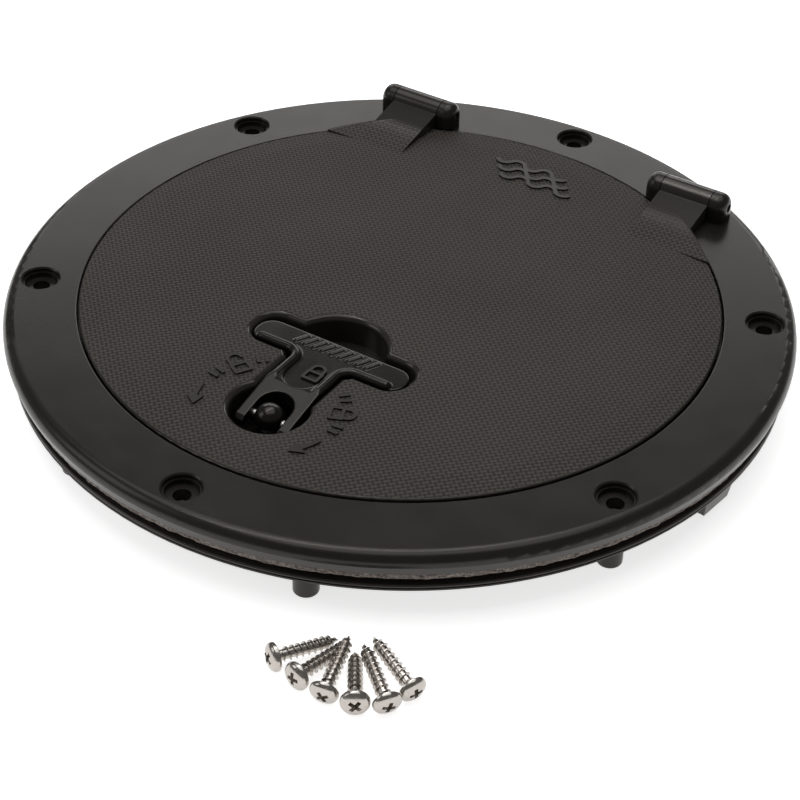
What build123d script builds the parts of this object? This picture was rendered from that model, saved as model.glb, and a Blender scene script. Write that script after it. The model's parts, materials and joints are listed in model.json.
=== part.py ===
from build123d import *
import os
from math import atan2, cos, radians, sin

# Deck hatch with a hinged, twist-locking lid.
# Millimetres. Origin: centre of the flange's underside, where it meets the deck.
# +Z is up through the lid, +Y points from the latch to the hinges.

os.makedirs("parts", exist_ok=True)

# ---------------------------------------------------------------- base ring
FLANGE_R = 129.0
FLANGE_T = 7.4
FLANGE_ROLL = 3.9
FLANGE_SIDE_TOP = FLANGE_T - 4.2
FLANGE_FOOT_R = 128.1
OPENING_R = 105.2
COLLAR_R = 107.5
COLLAR_DEPTH = 14.0
COAMING_IN = 94.5
COAMING_OUT = 97.0
COAMING_TOP = FLANGE_T - 2.8
COAMING_FOOT = FLANGE_T - 11.0
CHANNEL_TOP = FLANGE_T - 6.0
CHANNEL_FOOT = FLANGE_T - 8.0

# ---------------------------------------------------------------- mounting screws and their holes
SCREW_CIRCLE_R = 118.4
LEFT_PAIR_ANGLE = 30.1
RIGHT_PAIR_ANGLE = 25.8
SCREW_HOLE_R = 2.8
HEAD_POCKET_R = 6.1
HEAD_POCKET_CHAMFER = 0.45
HEAD_POCKET_DEPTH = 1.6
SEAT_POCKET_R = 5.4
SEAT_POCKET_DEPTH = 3.2
PILOT_R = 1.7

# ---------------------------------------------------------------- gasket and backing ring
GASKET_T = 2.6
GASKET_OUT = 127.3
RING_CLEARANCE = 0.4
LAND_OUT = 122.4
LIP_OUT = 127.0
LIP_TOP = -5.1
LIP_FOOT = -7.4
PEG_R = 4.0
PEG_FOOT = -18.1
PEG_COUNT = 8
FIRST_PEG_ANGLE = -RIGHT_PAIR_ANGLE

# ---------------------------------------------------------------- hinges
HINGE_Y = 100.0
HINGE_Z = FLANGE_T + 4.75
KNUCKLE_R = 4.7
HINGE_X = 54.8
KNUCKLE_WIDTH = 18.2
EAR_LENGTH = 5.9
EAR_GAP = 0.3
EAR_DOME = 3.4
PIN_R = 1.5
PIN_HOLE_R = 1.52
PIN_RUNNING_R = 1.56
PIN_RECESS = 0.8
RELIEF_R = KNUCKLE_R + 0.35

# ---------------------------------------------------------------- lid
LID_R = 104.6
LID_TOP = FLANGE_T + 1.3
LID_EDGE_TOP = FLANGE_T + 0.5
LID_EDGE_FALL = 9.0
LID_UNDER = FLANGE_T - 1.6
RIM_UNDER = FLANGE_T - 1.4
CARRIER_FOOT = FLANGE_T - 2.4
SEAL_IN = 93.2
SEAL_OUT = 98.6
SEAL_TOP = FLANGE_T - 0.8
SKIRT_IN = 91.2
SKIRT_FOOT = FLANGE_T - 4.6
RAMP_START_Y = 71.0
RAMP_END_Y = 95.6
RAMP_END_Z = FLANGE_T + 6.0
ARM_UNDER = FLANGE_T + 0.5
RIB_T = 2.0
RIB_FOOT = FLANGE_T - 4.6
RIB_RING_R = 62.0

# ---------------------------------------------------------------- latch recess in the lid
HUB_Y = -74.3
HUB_WELL_R = 12.4
HUB_WELL_FLOOR = FLANGE_T - 12.8
STEM_SLOT_HALF = 10.1
BAR_SLOT_HALF = 28.6
BAR_SLOT_BACK = -32.8
BAR_SLOT_FRONT = -47.7
BAR_SLOT_CORNER = 6.2
SLOT_FLOOR = FLANGE_T - 5.5
SCOOP_R = 16.0
SCOOP_Y = -38.0
SCOOP_FLOOR = FLANGE_T - 8.6
MOUTH_ROUND = 2.3
CUP_WALL = 2.2

# ---------------------------------------------------------------- T-handle
PIVOT_Z = FLANGE_T - 4.2
BAR_HALF = 28.0
BAR_BACK = -35.5
BAR_FRONT = -47.1
STEM_HALF = 9.6
FORK_END_Y = -80.4
NOTCH_HALF = 6.1
FORK_CORNER = 1.2
NOTCH_TOP_Y = -66.0
DISH_HALF = 6.1
DISH_END_Y = -62.8
HANDLE_UNDER = FLANGE_T - 4.6
DISH_TOP = FLANGE_T + 0.2
BRIDGE_TOP = FLANGE_T + 1.5
ROLL_R = 1.75
ROLL_PROUD = 0.1
ROLL_Y = BAR_FRONT + ROLL_R - ROLL_PROUD
ROLL_X = STEM_HALF - ROLL_R + ROLL_PROUD
ROLL_Z = DISH_TOP + 0.1
ROLL_END_X = 23.2
ROLL_BEND = 5.0
RIB_TOP = ROLL_Z + ROLL_R
ARM_SLOPE_Y = -60.0
ARM_TIP_Y = -78.7
ARM_TIP_Z = FLANGE_T - 2.3
ARM_END_Z = FLANGE_T - 3.6
GRIP_ROW = range(9)
GRIP_PITCH = 3.3
GRIP_LEFT = -12.0
GRIP_Y = -39.4
GRIP_TILT = 62.0
GRIP_LENGTH = 5.0
GRIP_WIDTH = 1.2
FORK_DISC_R = 2.8
HUB_BALL_R = 4.9
HUB_BALL_Z = PIVOT_Z + 0.5
HUB_NECK_R = 4.2
HUB_FOOT_R = 5.7
HUB_FOOT_T = 0.8
HANDLE_PIN_R = 1.5
HANDLE_PIN_RUNNING_R = 1.56

# ---------------------------------------------------------------- latch below the lid
SPINDLE_R = 3.0
RUNNING = 0.06
BUSH_R = 5.5
BUSH_FLANGE_R = 8.0
BUSH_FLANGE_T = 0.6
O_RING_TUBE = 0.8
CUP_FOOT = HUB_WELL_FLOOR - CUP_WALL
BUSH_FOOT = CUP_FOOT - BUSH_FLANGE_T
THRUST_R = 7.5
THRUST_T = 0.6
ASSEMBLY_GAP = 0.04
SPRING_T = 0.4
SPRING_RISE = 0.9
CAM_TOP = BUSH_FOOT - THRUST_T - SPRING_RISE
CAM_T = 4.0
CAM_HUB_R = 8.0
CAM_HALF = 6.5
CAM_RISER_Y = -89.9
CAM_RISER_T = 3.4
CAM_TIP_Y = -99.0
CAM_FINGER_T = 3.0
CAM_GAP = 0.3
WASHER_T = 0.6
SCREW_HEAD_T = 1.8

# ---------------------------------------------------------------- raised marks on the lid and handle
MARK_HEIGHT = 0.6
MARK_ARC_R = 23.2
MARK_WIDTH = 1.2
LID_LOCK_WIDTH = 6.2
OPEN_ANGLE = 150.0
CLOSE_ANGLE = 22.0
TICK_STEPS = (-23.0, -16.0, 16.0, 23.0)
TICK_LENGTH = 3.6
HANDLE_LOCK_AT = (1.9, -51.8)
HANDLE_LOCK_WIDTH = 6.0
EMBLEM_ROWS = 3
EMBLEM_HALF_WAVES = 5
EMBLEM_Y = 88.6
EMBLEM_LEFT = -15.0
EMBLEM_PITCH = 4.2
EMBLEM_STAGGER = 3.0
EMBLEM_WAVE = 11.0
EMBLEM_RISE = 1.7
EMBLEM_STROKE = 1.5

# ---------------------------------------------------------------- loose mounting screws
SCREW_HEAD_R = 4.3
SCREW_HEAD_H = 2.6
SCREW_CORE_R = 1.6
SCREW_THREAD_R = 2.3
SCREW_LENGTH = 19.6
SCREW_PITCH = 1.9
SCREW_POINT = 3.4
# Head centre x and y on the floor, the heading of the point and how far the point is lifted.
SCREW_FAN = (
    (49.85, -142.6, 60.3, 0.0),
    (59.25, -145.0, 78.7, 0.0),
    (68.55, -145.8, 103.4, 5.0),
    (77.55, -144.5, 123.1, 1.0),
    (84.6, -139.7, 142.0, 5.35),
    (87.65, -131.75, 155.8, 5.05),
)


def polar(radius, angle):
    """Point on a circle about the hatch's axis."""
    return (radius * cos(radians(angle)), radius * sin(radians(angle)))


SCREW_ANGLES = (
    90.0,
    180.0 - LEFT_PAIR_ANGLE,
    180.0 + LEFT_PAIR_ANGLE,
    270.0,
    -RIGHT_PAIR_ANGLE,
    RIGHT_PAIR_ANGLE,
)
SCREW_PLACES = [polar(SCREW_CIRCLE_R, angle) for angle in SCREW_ANGLES]
PEG_PLACES = [
    polar(SCREW_CIRCLE_R, FIRST_PEG_ANGLE + k * 360.0 / PEG_COUNT) for k in range(PEG_COUNT)
]
HINGE_AXIS = Axis((0, HINGE_Y, HINGE_Z), (1, 0, 0))
HUB_AXIS = Axis((0, HUB_Y, 0), (0, 0, 1))
HUB_SECTION = Plane.XZ.offset(-HUB_Y)


def ear_plan(inner_face, side):
    """Plan of a hinge ear at the pin's height: square against the knuckle, rounded outside."""
    with BuildSketch(Plane.XY.offset(HINGE_Z)) as sketch:
        with Locations((inner_face + side * EAR_LENGTH / 2, HINGE_Y)):
            Rectangle(EAR_LENGTH, 2 * KNUCKLE_R)
        outer_end = sketch.vertices().group_by(Axis.X)[-1 if side > 0 else 0]
        fillet(outer_end, EAR_DOME)
    return sketch.sketch


def ear_back_half(inner_face):
    """Rectangle over the half of an ear's plan that lies behind the pin."""
    with BuildSketch(Plane.XY.offset(HINGE_Z)) as sketch:
        with Locations((inner_face, HINGE_Y + KNUCKLE_R)):
            Rectangle(4 * EAR_LENGTH, 2 * KNUCKLE_R)
    return sketch.sketch


def finish(builder, name):
    """Label a finished piece and write its STEP file."""
    builder.part.label = name
    export_step(builder.part, f"parts/{name}.step")


# ================================================================ base ring
with BuildPart() as base_ring:
    with BuildSketch(Plane.XZ) as ring_profile:
        with BuildLine():
            Polyline(
                (COAMING_IN, COAMING_FOOT),
                (COAMING_IN, COAMING_TOP),
                (COAMING_OUT, COAMING_TOP),
                (COAMING_OUT, CHANNEL_TOP),
                (OPENING_R, CHANNEL_TOP),
                (OPENING_R, FLANGE_T),
                (FLANGE_R, FLANGE_T),
                (FLANGE_R, FLANGE_SIDE_TOP),
                (FLANGE_FOOT_R, 0),
                (COLLAR_R, 0),
                (COLLAR_R, -COLLAR_DEPTH),
                (OPENING_R, -COLLAR_DEPTH),
                (OPENING_R, CHANNEL_FOOT),
                (COAMING_OUT, CHANNEL_FOOT),
                (COAMING_OUT, COAMING_FOOT),
                close=True,
            )
        make_face()
        fillet(ring_profile.vertices().group_by(Axis.X)[-1].sort_by(Axis.Y)[-1], FLANGE_ROLL)
        foot_corner = (
            ring_profile.vertices()
            .filter_by_position(Axis.X, FLANGE_FOOT_R - 0.1, FLANGE_FOOT_R + 0.1)
            .sort_by(Axis.Y)[0]
        )
        fillet(foot_corner, 0.6)
        mouth_corner = ring_profile.vertices().group_by(Axis.Y)[-1].sort_by(Axis.X)[0]
        fillet(mouth_corner, 0.5)
        coaming_rim = (
            ring_profile.vertices()
            .filter_by_position(Axis.X, COAMING_IN - 0.1, COAMING_OUT + 0.1)
            .filter_by_position(Axis.Y, COAMING_TOP - 0.1, COAMING_TOP + 0.1)
        )
        fillet(coaming_rim, 0.7)
    revolve(axis=Axis.Z)

    # Two ears for each hinge: straight flanks up to the pin's height, then a domed bullet.
    for hinge_x in (-HINGE_X, HINGE_X):
        for side in (-1, 1):
            inner_face = hinge_x + side * (KNUCKLE_WIDTH / 2 + EAR_GAP)
            extrude(ear_plan(inner_face, side), amount=-(HINGE_Z - FLANGE_T + 2.0))
            half_plan = ear_plan(inner_face, side).intersect(ear_back_half(inner_face))
            revolve(half_plan, axis=HINGE_AXIS)

    # The ears' feet are trimmed clear of the lid's edge.
    with Locations((0, 0, CARRIER_FOOT + 0.1)):
        Cylinder(
            LID_R + 0.4,
            LID_EDGE_TOP + 0.3 - CARRIER_FOOT,
            align=(Align.CENTER, Align.CENTER, Align.MIN),
            mode=Mode.SUBTRACT,
        )

    # Shallow cylindrical relief in the flange under each knuckle, and the pin holes.
    for hinge_x in (-HINGE_X, HINGE_X):
        relief_width = KNUCKLE_WIDTH + 2 * EAR_GAP
        with BuildSketch(Plane.YZ.offset(hinge_x - relief_width / 2)):
            with Locations((HINGE_Y, HINGE_Z)):
                Circle(RELIEF_R)
        extrude(amount=relief_width, mode=Mode.SUBTRACT)
        pin_span = KNUCKLE_WIDTH + 2 * (EAR_GAP + EAR_LENGTH) + 2.0
        with BuildSketch(Plane.YZ.offset(hinge_x - pin_span / 2)):
            with Locations((HINGE_Y, HINGE_Z)):
                Circle(PIN_HOLE_R)
        extrude(amount=pin_span, mode=Mode.SUBTRACT)

    # Screw holes: a wide head pocket, a narrower seat and the hole itself.
    with Locations(*[(x, y, FLANGE_T) for x, y in SCREW_PLACES]):
        CounterBoreHole(SCREW_HOLE_R, SEAT_POCKET_R, SEAT_POCKET_DEPTH, depth=FLANGE_T + 1)
    with Locations(*[(x, y, FLANGE_T) for x, y in SCREW_PLACES]):
        Hole(HEAD_POCKET_R, depth=HEAD_POCKET_DEPTH)
    pocket_rims = (
        base_ring.edges()
        .filter_by(GeomType.CIRCLE)
        .filter_by(lambda e: abs(e.radius - HEAD_POCKET_R) < 0.01)
        .filter_by_position(Axis.Z, FLANGE_T - 0.01, FLANGE_T + 0.01)
    )
    chamfer(pocket_rims, HEAD_POCKET_CHAMFER)
finish(base_ring, "base_ring")

# ================================================================ deck gasket
with BuildPart() as deck_gasket:
    with BuildSketch(Plane.XY.offset(-GASKET_T)):
        Circle(GASKET_OUT)
        Circle(COLLAR_R + RING_CLEARANCE, mode=Mode.SUBTRACT)
        with Locations(*SCREW_PLACES):
            Circle(SCREW_HOLE_R + 0.3, mode=Mode.SUBTRACT)
    extrude(amount=GASKET_T)
finish(deck_gasket, "deck_gasket")

# ================================================================ backing ring
with BuildPart() as backing_ring:
    with BuildSketch(Plane.XZ):
        with BuildLine():
            Polyline(
                (COLLAR_R + RING_CLEARANCE, -GASKET_T),
                (LAND_OUT, -GASKET_T),
                (LAND_OUT + 0.8, LIP_TOP),
                (LIP_OUT - 0.4, LIP_TOP),
                (LIP_OUT, LIP_TOP - 0.4),
                (LIP_OUT, LIP_TOP - 0.8),
                (LIP_OUT - 0.6, LIP_TOP - 1.0),
                (LIP_OUT - 0.6, LIP_TOP - 1.2),
                (LIP_OUT, LIP_TOP - 1.4),
                (LIP_OUT, LIP_FOOT + 0.4),
                (LIP_OUT - 0.4, LIP_FOOT),
                (COLLAR_R + RING_CLEARANCE, LIP_FOOT),
                close=True,
            )
        make_face()
    revolve(axis=Axis.Z)
    with BuildSketch(Plane.XY.offset(LIP_FOOT)):
        with Locations(*PEG_PLACES):
            Circle(PEG_R)
    extrude(amount=PEG_FOOT - LIP_FOOT)
    peg_feet = backing_ring.faces().filter_by(Axis.Z).group_by(Axis.Z)[0].edges()
    fillet(peg_feet, 0.9)
    with Locations(*[(x, y, -GASKET_T) for x, y in SCREW_PLACES]):
        Hole(PILOT_R, depth=abs(PEG_FOOT))
    # Two lifting tabs under the lip.
    for tab_angle in (-8.0, 172.0):
        tab_x, tab_y = polar(LIP_OUT - 3.2, tab_angle)
        tab_plane = Plane(
            origin=(tab_x, tab_y, LIP_FOOT),
            x_dir=(cos(radians(tab_angle)), sin(radians(tab_angle)), 0),
            z_dir=(0, 0, -1),
        )
        with BuildSketch(tab_plane):
            Rectangle(5.2, 14.0)
        extrude(amount=5.0, taper=8)
finish(backing_ring, "backing_ring")

# ================================================================ hinge pins
PIN_LENGTH = KNUCKLE_WIDTH + 2 * (EAR_GAP + EAR_LENGTH - PIN_RECESS)


def hinge_pin_profile(hinge_x):
    """Round bar on the hinge axis, as a sketch at its left end."""
    with BuildSketch(Plane.YZ.offset(hinge_x - PIN_LENGTH / 2)) as sketch:
        with Locations((HINGE_Y, HINGE_Z)):
            Circle(PIN_R)
    return sketch.sketch


with BuildPart() as hinge_pin_left:
    extrude(hinge_pin_profile(-HINGE_X), amount=PIN_LENGTH)
    chamfer(hinge_pin_left.edges().filter_by(GeomType.CIRCLE), 0.3)
finish(hinge_pin_left, "hinge_pin_left")

with BuildPart() as hinge_pin_right:
    extrude(hinge_pin_profile(HINGE_X), amount=PIN_LENGTH)
    chamfer(hinge_pin_right.edges().filter_by(GeomType.CIRCLE), 0.3)
finish(hinge_pin_right, "hinge_pin_right")

# ================================================================ lid ramps
# Each hinge arm rises out of the lid as a wedge that runs outboard to the lid's edge.
ARM_INNER = HINGE_X - KNUCKLE_WIDTH / 2


def ramp_section(start_x):
    """Side view of the ramp, on a plane at the given x."""
    with BuildSketch(Plane.YZ.offset(start_x)) as sketch:
        with BuildLine():
            Polyline(
                (RAMP_START_Y, ARM_UNDER),
                (RAMP_START_Y, LID_TOP - 0.05),
                (RAMP_END_Y, RAMP_END_Z),
                (HINGE_Y, RAMP_END_Z),
                (HINGE_Y, ARM_UNDER + 0.6),
                (HINGE_Y - 4.0, ARM_UNDER),
                close=True,
            )
        make_face()
    return sketch.sketch


with BuildPart() as lid_wedges:
    extrude(ramp_section(ARM_INNER), amount=LID_R - ARM_INNER)
    Cylinder(LID_R, 60, mode=Mode.INTERSECT)
    mirror(about=Plane.YZ)

# ================================================================ lid panel
with BuildPart() as lid_panel:
    with BuildSketch(Plane.XZ) as lid_profile:
        with BuildLine():
            Polyline(
                (0, LID_UNDER),
                (0, LID_TOP),
                (LID_R - LID_EDGE_FALL, LID_TOP),
                (LID_R, LID_EDGE_TOP),
                (LID_R, RIM_UNDER),
                (SEAL_OUT + 2.0, RIM_UNDER),
                (SEAL_OUT + 2.0, CARRIER_FOOT),
                (SEAL_OUT, CARRIER_FOOT),
                (SEAL_OUT, SEAL_TOP),
                (SEAL_IN, SEAL_TOP),
                (SEAL_IN, SKIRT_FOOT),
                (SKIRT_IN, SKIRT_FOOT),
                (SKIRT_IN, LID_UNDER),
                close=True,
            )
        make_face()
        edge_corner = lid_profile.vertices().group_by(Axis.X)[-1].sort_by(Axis.Y)[-1]
        fillet(edge_corner, 0.5)
    revolve(axis=Axis.Z)

    # Stiffening ribs under the panel.
    with BuildSketch(Plane.XY.offset(RIB_FOOT)):
        Circle(RIB_RING_R + RIB_T / 2)
        Circle(RIB_RING_R - RIB_T / 2, mode=Mode.SUBTRACT)
        with PolarLocations((SKIRT_IN + 24.0) / 2, 8, start_angle=22.5):
            Rectangle(SKIRT_IN - 24.0 + 1.0, RIB_T)
    extrude(amount=LID_UNDER - RIB_FOOT)

    # Hinge arms and knuckles.
    add(lid_wedges.part)
    for hinge_x in (-HINGE_X, HINGE_X):
        extrude(ramp_section(hinge_x - KNUCKLE_WIDTH / 2), amount=KNUCKLE_WIDTH)
        with BuildSketch(Plane.YZ.offset(hinge_x - KNUCKLE_WIDTH / 2)):
            with Locations((HINGE_Y, HINGE_Z)):
                Circle(KNUCKLE_R)
        extrude(amount=KNUCKLE_WIDTH)
        with BuildSketch(Plane.YZ.offset(hinge_x - KNUCKLE_WIDTH / 2)):
            with Locations((HINGE_Y, HINGE_Z)):
                Circle(PIN_RUNNING_R)
        extrude(amount=KNUCKLE_WIDTH, mode=Mode.SUBTRACT)

    # Moulded cup around the latch recess.
    bar_slot_size = (2 * BAR_SLOT_HALF, BAR_SLOT_BACK - BAR_SLOT_FRONT)
    bar_slot_y = (BAR_SLOT_BACK + BAR_SLOT_FRONT) / 2
    stem_slot_size = (2 * STEM_SLOT_HALF, BAR_SLOT_BACK - HUB_Y)
    stem_slot_y = (BAR_SLOT_BACK + HUB_Y) / 2
    with BuildSketch(Plane.XY.offset(SLOT_FLOOR - CUP_WALL)):
        with Locations((0, bar_slot_y)):
            RectangleRounded(
                bar_slot_size[0] + 2 * CUP_WALL, bar_slot_size[1] + 2 * CUP_WALL, BAR_SLOT_CORNER + CUP_WALL
            )
        with Locations((0, stem_slot_y)):
            Rectangle(stem_slot_size[0] + 2 * CUP_WALL, stem_slot_size[1])
    extrude(amount=LID_UNDER - SLOT_FLOOR + CUP_WALL)
    with BuildSketch(Plane.XY.offset(SCOOP_FLOOR - CUP_WALL)):
        with Locations((0, SCOOP_Y)):
            Circle(SCOOP_R + CUP_WALL)
    extrude(amount=LID_UNDER - SCOOP_FLOOR + CUP_WALL)
    with BuildSketch(Plane.XY.offset(CUP_FOOT)):
        with Locations((0, HUB_Y)):
            Circle(HUB_WELL_R + CUP_WALL)
    extrude(amount=LID_UNDER - CUP_FOOT)

    # The recess itself: bar slot, stem slot, finger scoop and hub well.
    with BuildSketch(Plane.XY.offset(SLOT_FLOOR)) as slot_outline:
        with Locations((0, bar_slot_y)):
            RectangleRounded(*bar_slot_size, BAR_SLOT_CORNER)
        with Locations((0, stem_slot_y)):
            Rectangle(*stem_slot_size)
    extrude(amount=LID_TOP - SLOT_FLOOR + 1, mode=Mode.SUBTRACT)
    with BuildSketch(Plane.XY.offset(SCOOP_FLOOR)):
        with Locations((0, SCOOP_Y)):
            Circle(SCOOP_R)
    extrude(amount=LID_TOP - SCOOP_FLOOR + 1, mode=Mode.SUBTRACT)
    with BuildSketch(Plane.XY.offset(HUB_WELL_FLOOR)):
        with Locations((0, HUB_Y)):
            Circle(HUB_WELL_R)
    extrude(amount=LID_TOP - HUB_WELL_FLOOR + 1, mode=Mode.SUBTRACT)
    mouth_edges = [
        e
        for e in lid_panel.edges().filter_by_position(Axis.Z, LID_TOP - 0.01, LID_TOP + 0.01)
        if abs(e.center().X) < BAR_SLOT_HALF + 2 and HUB_Y - 20 < e.center().Y < -15
    ]
    fillet(mouth_edges, MOUTH_ROUND)

    # Bore for the spindle bush through the well's floor.
    with Locations((0, HUB_Y, HUB_WELL_FLOOR)):
        Hole(BUSH_R, depth=CUP_WALL + 1)
finish(lid_panel, "lid_panel")

# ================================================================ lid seal
with BuildPart() as lid_seal:
    with BuildSketch(Plane.XZ) as seal_section:
        with BuildLine():
            Polyline(
                (SEAL_IN, SEAL_TOP),
                (SEAL_OUT, SEAL_TOP),
                (SEAL_OUT, COAMING_TOP + 0.7),
                (SEAL_OUT - 0.7, COAMING_TOP),
                (SEAL_IN + 0.7, COAMING_TOP),
                (SEAL_IN, COAMING_TOP + 0.7),
                close=True,
            )
        make_face()
    revolve(axis=Axis.Z)
finish(lid_seal, "lid_seal")

# ================================================================ T-handle
DISH_CENTRE_Y = DISH_END_Y + DISH_HALF
NOTCH_CENTRE_Y = NOTCH_TOP_Y - NOTCH_HALF


def handle_outline():
    """Plan of the handle: a rounded bar with a forked stem."""
    with BuildSketch(Plane.XY.offset(HANDLE_UNDER)) as sketch:
        with Locations((0, (BAR_BACK + BAR_FRONT) / 2)):
            RectangleRounded(2 * BAR_HALF, BAR_BACK - BAR_FRONT, 5.4)
        with Locations((0, (BAR_BACK + FORK_END_Y) / 2 - 1)):
            Rectangle(2 * STEM_HALF, BAR_BACK - FORK_END_Y - 2)
        armpits = (
            sketch.vertices()
            .filter_by_position(Axis.Y, BAR_FRONT - 0.1, BAR_FRONT + 0.1)
            .filter_by(lambda v: abs(abs(v.X) - STEM_HALF) < 0.1)
        )
        fillet(armpits, ROLL_BEND - ROLL_R + ROLL_PROUD)
        fork_corners = sketch.vertices().group_by(Axis.Y)[0]
        fillet(fork_corners, FORK_CORNER)
        with Locations((0, NOTCH_CENTRE_Y)):
            Circle(NOTCH_HALF, mode=Mode.SUBTRACT)
        with Locations((0, NOTCH_CENTRE_Y - 15)):
            Rectangle(2 * NOTCH_HALF, 30, mode=Mode.SUBTRACT)
    return sketch.sketch


with BuildPart() as t_handle:
    extrude(handle_outline(), amount=DISH_TOP - HANDLE_UNDER)
    # Raised bridge between the stem's dish and the fork.
    with BuildSketch(Plane.XY.offset(DISH_TOP)):
        add(handle_outline().moved(Location((0, 0, DISH_TOP - HANDLE_UNDER))))
        with Locations((0, DISH_CENTRE_Y + BAR_HALF)):
            Rectangle(4 * BAR_HALF, 2 * BAR_HALF, mode=Mode.SUBTRACT)
        with Locations((0, DISH_CENTRE_Y)):
            Circle(DISH_HALF, mode=Mode.SUBTRACT)
    extrude(amount=BRIDGE_TOP - DISH_TOP)
    # Rolled rib along the bar's front, round each armpit and down the stem.
    for side in (-1, 1):
        with BuildLine() as roll_path:
            FilletPolyline(
                (side * ROLL_END_X, ROLL_Y, ROLL_Z),
                (side * ROLL_X, ROLL_Y, ROLL_Z),
                (side * ROLL_X, DISH_END_Y, ROLL_Z),
                radius=ROLL_BEND,
            )
        with BuildSketch(Plane(origin=roll_path.line @ 0, z_dir=roll_path.line % 0)):
            Circle(ROLL_R)
        sweep()
        with Locations((side * ROLL_END_X, ROLL_Y, ROLL_Z)):
            Sphere(ROLL_R)
    # Slanted grip ribs across the bar's flat.
    with BuildSketch(Plane.XY.offset(DISH_TOP)):
        with Locations(*[(GRIP_LEFT + k * GRIP_PITCH, GRIP_Y) for k in GRIP_ROW]):
            Rectangle(GRIP_LENGTH, GRIP_WIDTH, rotation=GRIP_TILT)
    extrude(amount=MARK_HEIGHT)
    # The fork's arms fall away from the bridge and are bevelled at their tips.
    with BuildSketch(Plane.YZ.offset(-STEM_HALF - 1)):
        with BuildLine():
            Polyline(
                (ARM_SLOPE_Y, RIB_TOP),
                (ARM_TIP_Y, ARM_TIP_Z),
                (FORK_END_Y, ARM_END_Z),
                (FORK_END_Y - 1, ARM_END_Z),
                (FORK_END_Y - 1, RIB_TOP + 1),
                (ARM_SLOPE_Y, RIB_TOP + 1),
                close=True,
            )
        make_face()
    extrude(amount=2 * STEM_HALF + 2, mode=Mode.SUBTRACT)
    # Rounded bearing lugs around the pivot pin, one on each fork arm.
    for side in (-1, 1):
        with BuildSketch(Plane.YZ.offset(side * NOTCH_HALF)):
            with Locations((HUB_Y, PIVOT_Z)):
                Circle(FORK_DISC_R)
        extrude(amount=side * (STEM_HALF - NOTCH_HALF))
    # Pivot hole.
    with BuildSketch(Plane.YZ.offset(-STEM_HALF - 1)):
        with Locations((HUB_Y, PIVOT_Z)):
            Circle(HANDLE_PIN_R)
    extrude(amount=2 * STEM_HALF + 2, mode=Mode.SUBTRACT)
finish(t_handle, "t_handle")

# ================================================================ handle pivot pin
with BuildPart() as handle_pin:
    with BuildSketch(Plane.YZ.offset(-STEM_HALF + 0.3)):
        with Locations((HUB_Y, PIVOT_Z)):
            Circle(HANDLE_PIN_R)
    extrude(amount=2 * STEM_HALF - 0.6)
    chamfer(handle_pin.edges().filter_by(GeomType.CIRCLE), 0.25)
finish(handle_pin, "handle_pin")

# ================================================================ handle hub
HUB_NECK_FOOT = HUB_WELL_FLOOR
SPINDLE_TOP = HUB_WELL_FLOOR + 4.0
with BuildPart() as handle_hub:
    with BuildSketch(HUB_SECTION) as hub_section:
        with Locations((0, HUB_BALL_Z)):
            Circle(HUB_BALL_R)
        with Locations((0, (HUB_NECK_FOOT + PIVOT_Z) / 2)):
            Rectangle(2 * HUB_NECK_R, PIVOT_Z - HUB_NECK_FOOT)
        with Locations((0, HUB_NECK_FOOT + HUB_FOOT_T / 2)):
            Rectangle(2 * HUB_FOOT_R, HUB_FOOT_T)
        with Locations((-10, 0)):
            Rectangle(20, 60, mode=Mode.SUBTRACT)
    revolve(axis=HUB_AXIS)
    with BuildSketch(Plane.YZ.offset(-HUB_BALL_R - 1)):
        with Locations((HUB_Y, PIVOT_Z)):
            Circle(HANDLE_PIN_RUNNING_R)
    extrude(amount=2 * HUB_BALL_R + 2, mode=Mode.SUBTRACT)
    with BuildSketch(Plane.XY.offset(HUB_NECK_FOOT)):
        with Locations((0, HUB_Y)):
            Circle(SPINDLE_R + RUNNING)
    extrude(amount=SPINDLE_TOP - HUB_NECK_FOOT + 0.2, mode=Mode.SUBTRACT)
finish(handle_hub, "handle_hub")

# ================================================================ spindle and its bush
O_RING_POCKET_R = SPINDLE_R + 2 * O_RING_TUBE + 0.2
O_RING_Z = HUB_WELL_FLOOR - 1.0
WASHER_TOP = CAM_TOP - CAM_T
WASHER_FOOT = WASHER_TOP - WASHER_T


def ring_sketch(outer, inner, foot):
    """Flat ring about the spindle's axis, at the given height."""
    with BuildSketch(Plane.XY.offset(foot)) as sketch:
        with Locations((0, HUB_Y)):
            Circle(outer)
            Circle(inner, mode=Mode.SUBTRACT)
    return sketch.sketch


with BuildPart() as spindle_bush:
    extrude(ring_sketch(BUSH_R, SPINDLE_R + RUNNING, CUP_FOOT), amount=CUP_WALL)
    extrude(ring_sketch(BUSH_FLANGE_R, SPINDLE_R + RUNNING, BUSH_FOOT), amount=BUSH_FLANGE_T)
    with BuildSketch(Plane.XY.offset(O_RING_Z - O_RING_TUBE)):
        with Locations((0, HUB_Y)):
            Circle(O_RING_POCKET_R)
    extrude(amount=3, mode=Mode.SUBTRACT)
finish(spindle_bush, "spindle_bush")

with BuildPart() as spindle:
    with BuildSketch(Plane.XY.offset(WASHER_TOP)):
        with Locations((0, HUB_Y)):
            Circle(SPINDLE_R)
    extrude(amount=SPINDLE_TOP - WASHER_TOP)
    # Two flats that drive the cam.
    with BuildSketch(Plane.XY.offset(WASHER_TOP)):
        for side in (-1, 1):
            with Locations((side * (SPINDLE_R + 1.6), HUB_Y)):
                Rectangle(4.0, 3 * SPINDLE_R)
    extrude(amount=CAM_T, mode=Mode.SUBTRACT)
    # Threaded hole for the cam screw.
    with BuildSketch(Plane.XY.offset(WASHER_TOP)):
        with Locations((0, HUB_Y)):
            Circle(1.5)
    extrude(amount=9.0, mode=Mode.SUBTRACT)
    chamfer(spindle.edges().filter_by(GeomType.CIRCLE).group_by(Axis.Z)[-1], 0.4)
finish(spindle, "spindle")

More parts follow.
